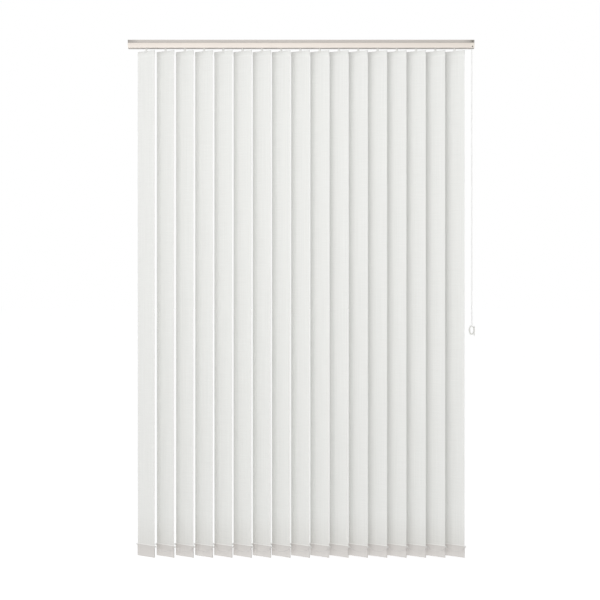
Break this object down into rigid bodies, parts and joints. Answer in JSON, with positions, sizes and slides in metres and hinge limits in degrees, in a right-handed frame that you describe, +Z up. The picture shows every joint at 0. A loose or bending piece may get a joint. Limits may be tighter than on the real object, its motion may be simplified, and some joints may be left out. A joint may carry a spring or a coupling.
{
  "type": "vertical blind",
  "caption": "Vertical blind: slim head rail with tilting, sliding fabric vanes, weighted hems linked by bead chains, and a control chain with its tensioner.",
  "frame": {"origin": "middle of the head rail's top face, on the plane where the mounting clips meet the ceiling", "axes": "+X along the rail towards the control chain, -Y towards the room, +Z up"},
  "size_m": [1.4035, 0.0644, 2.09],
  "materials": {
    "rail_paint": "satin",
    "cap_plastic": "satin",
    "clip_steel": "satin",
    "rod_aluminium": "satin",
    "chain_plastic": "gloss",
    "tensioner_plastic": "satin",
    "carrier_plastic": "satin",
    "vane_cloth": "matte",
    "fitting_plastic": "satin"
  },
  "bodies": {
    "rail": {"head_rail": "rail_paint", "return_end_cap": "cap_plastic", "control_end_cap": "cap_plastic", "mounting_clips": "clip_steel", "control_chain": "chain_plastic", "chain_tensioner": "tensioner_plastic", "carrier_17": "carrier_plastic"},
    "rod": {"tilt_rod": "rod_aluminium"},
    "carrier_01": {"carrier_01": "carrier_plastic"},
    "carrier_02": {"carrier_02": "carrier_plastic"},
    "carrier_03": {"carrier_03": "carrier_plastic"},
    "carrier_04": {"carrier_04": "carrier_plastic"},
    "carrier_05": {"carrier_05": "carrier_plastic"},
    "carrier_06": {"carrier_06": "carrier_plastic"},
    "carrier_07": {"carrier_07": "carrier_plastic"},
    "carrier_08": {"carrier_08": "carrier_plastic"},
    "carrier_09": {"carrier_09": "carrier_plastic"},
    "carrier_10": {"carrier_10": "carrier_plastic"},
    "carrier_11": {"carrier_11": "carrier_plastic"},
    "carrier_12": {"carrier_12": "carrier_plastic"},
    "carrier_13": {"carrier_13": "carrier_plastic"},
    "carrier_14": {"carrier_14": "carrier_plastic"},
    "carrier_15": {"carrier_15": "carrier_plastic"},
    "carrier_16": {"carrier_16": "carrier_plastic"},
    "vane_01": {"vane_01": "vane_cloth", "vane_fittings_01": "fitting_plastic"},
    "vane_02": {"vane_02": "vane_cloth", "vane_fittings_02": "fitting_plastic"},
    "vane_03": {"vane_03": "vane_cloth", "vane_fittings_03": "fitting_plastic"},
    "vane_04": {"vane_04": "vane_cloth", "vane_fittings_04": "fitting_plastic"},
    "vane_05": {"vane_05": "vane_cloth", "vane_fittings_05": "fitting_plastic"},
    "vane_06": {"vane_06": "vane_cloth", "vane_fittings_06": "fitting_plastic"},
    "vane_07": {"vane_07": "vane_cloth", "vane_fittings_07": "fitting_plastic"},
    "vane_08": {"vane_08": "vane_cloth", "vane_fittings_08": "fitting_plastic"},
    "vane_09": {"vane_09": "vane_cloth", "vane_fittings_09": "fitting_plastic"},
    "vane_10": {"vane_10": "vane_cloth", "vane_fittings_10": "fitting_plastic"},
    "vane_11": {"vane_11": "vane_cloth", "vane_fittings_11": "fitting_plastic"},
    "vane_12": {"vane_12": "vane_cloth", "vane_fittings_12": "fitting_plastic"},
    "vane_13": {"vane_13": "vane_cloth", "vane_fittings_13": "fitting_plastic"},
    "vane_14": {"vane_14": "vane_cloth", "vane_fittings_14": "fitting_plastic"},
    "vane_15": {"vane_15": "vane_cloth", "vane_fittings_15": "fitting_plastic"},
    "vane_16": {"vane_16": "vane_cloth", "vane_fittings_16": "fitting_plastic"},
    "vane_17": {"vane_17": "vane_cloth", "vane_fittings_17": "fitting_plastic"},
    "link_front": {"linking_chain_front": "chain_plastic"},
    "link_rear": {"linking_chain_rear": "chain_plastic"}
  },
  "joints": [
    {"name": "draw", "type": "slide", "parent": "rail", "child": "carrier_01", "axis": [1, 0, 0], "range_m": [0, 0.976]},
    {"name": "draw_02", "type": "slide", "parent": "rail", "child": "carrier_02", "axis": [1, 0, 0], "range_m": [0, 0.915]},
    {"name": "draw_03", "type": "slide", "parent": "rail", "child": "carrier_03", "axis": [1, 0, 0], "range_m": [0, 0.854]},
    {"name": "draw_04", "type": "slide", "parent": "rail", "child": "carrier_04", "axis": [1, 0, 0], "range_m": [0, 0.793]},
    {"name": "draw_05", "type": "slide", "parent": "rail", "child": "carrier_05", "axis": [1, 0, 0], "range_m": [0, 0.732]},
    {"name": "draw_06", "type": "slide", "parent": "rail", "child": "carrier_06", "axis": [1, 0, 0], "range_m": [0, 0.671]},
    {"name": "draw_07", "type": "slide", "parent": "rail", "child": "carrier_07", "axis": [1, 0, 0], "range_m": [0, 0.61]},
    {"name": "draw_08", "type": "slide", "parent": "rail", "child": "carrier_08", "axis": [1, 0, 0], "range_m": [0, 0.549]},
    {"name": "draw_09", "type": "slide", "parent": "rail", "child": "carrier_09", "axis": [1, 0, 0], "range_m": [0, 0.488]},
    {"name": "draw_10", "type": "slide", "parent": "rail", "child": "carrier_10", "axis": [1, 0, 0], "range_m": [0, 0.427]},
    {"name": "draw_11", "type": "slide", "parent": "rail", "child": "carrier_11", "axis": [1, 0, 0], "range_m": [0, 0.366]},
    {"name": "draw_12", "type": "slide", "parent": "rail", "child": "carrier_12", "axis": [1, 0, 0], "range_m": [0, 0.305]},
    {"name": "draw_13", "type": "slide", "parent": "rail", "child": "carrier_13", "axis": [1, 0, 0], "range_m": [0, 0.244]},
    {"name": "draw_14", "type": "slide", "parent": "rail", "child": "carrier_14", "axis": [1, 0, 0], "range_m": [0, 0.183]},
    {"name": "draw_15", "type": "slide", "parent": "rail", "child": "carrier_15", "axis": [1, 0, 0], "range_m": [0, 0.122]},
    {"name": "draw_16", "type": "slide", "parent": "rail", "child": "carrier_16", "axis": [1, 0, 0], "range_m": [0, 0.061]},
    {"name": "tilt", "type": "hinge", "parent": "carrier_01", "child": "vane_01", "pos_m": [-0.627, -0.003, 0], "axis": [0, 0, 1], "range_deg": [-133, 19]},
    {"name": "tilt_02", "type": "hinge", "parent": "carrier_02", "child": "vane_02", "pos_m": [-0.549, -0.003, 0], "axis": [0, 0, 1], "range_deg": [-133, 19]},
    {"name": "tilt_03", "type": "hinge", "parent": "carrier_03", "child": "vane_03", "pos_m": [-0.471, -0.003, 0], "axis": [0, 0, 1], "range_deg": [-133, 19]},
    {"name": "tilt_04", "type": "hinge", "parent": "carrier_04", "child": "vane_04", "pos_m": [-0.393, -0.003, 0], "axis": [0, 0, 1], "range_deg": [-133, 19]},
    {"name": "tilt_05", "type": "hinge", "parent": "carrier_05", "child": "vane_05", "pos_m": [-0.315, -0.003, 0], "axis": [0, 0, 1], "range_deg": [-133, 19]},
    {"name": "tilt_06", "type": "hinge", "parent": "carrier_06", "child": "vane_06", "pos_m": [-0.237, -0.003, 0], "axis": [0, 0, 1], "range_deg": [-133, 19]},
    {"name": "tilt_07", "type": "hinge", "parent": "carrier_07", "child": "vane_07", "pos_m": [-0.159, -0.003, 0], "axis": [0, 0, 1], "range_deg": [-133, 19]},
    {"name": "tilt_08", "type": "hinge", "parent": "carrier_08", "child": "vane_08", "pos_m": [-0.081, -0.003, 0], "axis": [0, 0, 1], "range_deg": [-133, 19]},
    {"name": "tilt_09", "type": "hinge", "parent": "carrier_09", "child": "vane_09", "pos_m": [-0.003, -0.003, 0], "axis": [0, 0, 1], "range_deg": [-133, 19]},
    {"name": "tilt_10", "type": "hinge", "parent": "carrier_10", "child": "vane_10", "pos_m": [0.075, -0.003, 0], "axis": [0, 0, 1], "range_deg": [-133, 19]},
    {"name": "tilt_11", "type": "hinge", "parent": "carrier_11", "child": "vane_11", "pos_m": [0.153, -0.003, 0], "axis": [0, 0, 1], "range_deg": [-133, 19]},
    {"name": "tilt_12", "type": "hinge", "parent": "carrier_12", "child": "vane_12", "pos_m": [0.231, -0.003, 0], "axis": [0, 0, 1], "range_deg": [-133, 19]},
    {"name": "tilt_13", "type": "hinge", "parent": "carrier_13", "child": "vane_13", "pos_m": [0.309, -0.003, 0], "axis": [0, 0, 1], "range_deg": [-133, 19]},
    {"name": "tilt_14", "type": "hinge", "parent": "carrier_14", "child": "vane_14", "pos_m": [0.387, -0.003, 0], "axis": [0, 0, 1], "range_deg": [-133, 19]},
    {"name": "tilt_15", "type": "hinge", "parent": "carrier_15", "child": "vane_15", "pos_m": [0.465, -0.003, 0], "axis": [0, 0, 1], "range_deg": [-133, 19]},
    {"name": "tilt_16", "type": "hinge", "parent": "carrier_16", "child": "vane_16", "pos_m": [0.543, -0.003, 0], "axis": [0, 0, 1], "range_deg": [-133, 19]},
    {"name": "tilt_17", "type": "hinge", "parent": "rail", "child": "vane_17", "pos_m": [0.621, -0.003, 0], "axis": [0, 0, 1], "range_deg": [-133, 19]},
    {"name": "rod_turn", "type": "hinge", "parent": "rail", "child": "rod", "pos_m": [0, 0.004, -0.018], "axis": [1, 0, 0], "range_deg": [-1596, 228]},
    {"name": "link_front_turn", "type": "hinge", "parent": "vane_17", "child": "link_front", "pos_m": [0.66428, -0.0311, -2.04], "axis": [0, 0, 1], "range_deg": [-19, 133], "deforming": ["linking_chain_front"]},
    {"name": "link_rear_turn", "type": "hinge", "parent": "vane_17", "child": "link_rear", "pos_m": [0.57772, 0.0251, -2.04], "axis": [0, 0, 1], "range_deg": [-19, 133], "deforming": ["linking_chain_rear"]}
  ],
  "couplings": [
    {"joint": "draw_02", "follows": "draw", "ratio": 0.9375},
    {"joint": "draw_03", "follows": "draw", "ratio": 0.875},
    {"joint": "draw_04", "follows": "draw", "ratio": 0.8125},
    {"joint": "draw_05", "follows": "draw", "ratio": 0.75},
    {"joint": "draw_06", "follows": "draw", "ratio": 0.6875},
    {"joint": "draw_07", "follows": "draw", "ratio": 0.625},
    {"joint": "draw_08", "follows": "draw", "ratio": 0.5625},
    {"joint": "draw_09", "follows": "draw", "ratio": 0.5},
    {"joint": "draw_10", "follows": "draw", "ratio": 0.4375},
    {"joint": "draw_11", "follows": "draw", "ratio": 0.375},
    {"joint": "draw_12", "follows": "draw", "ratio": 0.3125},
    {"joint": "draw_13", "follows": "draw", "ratio": 0.25},
    {"joint": "draw_14", "follows": "draw", "ratio": 0.1875},
    {"joint": "draw_15", "follows": "draw", "ratio": 0.125},
    {"joint": "draw_16", "follows": "draw", "ratio": 0.0625},
    {"joint": "tilt_02", "follows": "tilt", "ratio": 1},
    {"joint": "tilt_03", "follows": "tilt", "ratio": 1},
    {"joint": "tilt_04", "follows": "tilt", "ratio": 1},
    {"joint": "tilt_05", "follows": "tilt", "ratio": 1},
    {"joint": "tilt_06", "follows": "tilt", "ratio": 1},
    {"joint": "tilt_07", "follows": "tilt", "ratio": 1},
    {"joint": "tilt_08", "follows": "tilt", "ratio": 1},
    {"joint": "tilt_09", "follows": "tilt", "ratio": 1},
    {"joint": "tilt_10", "follows": "tilt", "ratio": 1},
    {"joint": "tilt_11", "follows": "tilt", "ratio": 1},
    {"joint": "tilt_12", "follows": "tilt", "ratio": 1},
    {"joint": "tilt_13", "follows": "tilt", "ratio": 1},
    {"joint": "tilt_14", "follows": "tilt", "ratio": 1},
    {"joint": "tilt_15", "follows": "tilt", "ratio": 1},
    {"joint": "tilt_16", "follows": "tilt", "ratio": 1},
    {"joint": "tilt_17", "follows": "tilt", "ratio": 1},
    {"joint": "rod_turn", "follows": "tilt", "ratio": 12},
    {"joint": "link_front_turn", "follows": "tilt", "ratio": -1},
    {"joint": "link_rear_turn", "follows": "tilt", "ratio": -1}
  ]
}
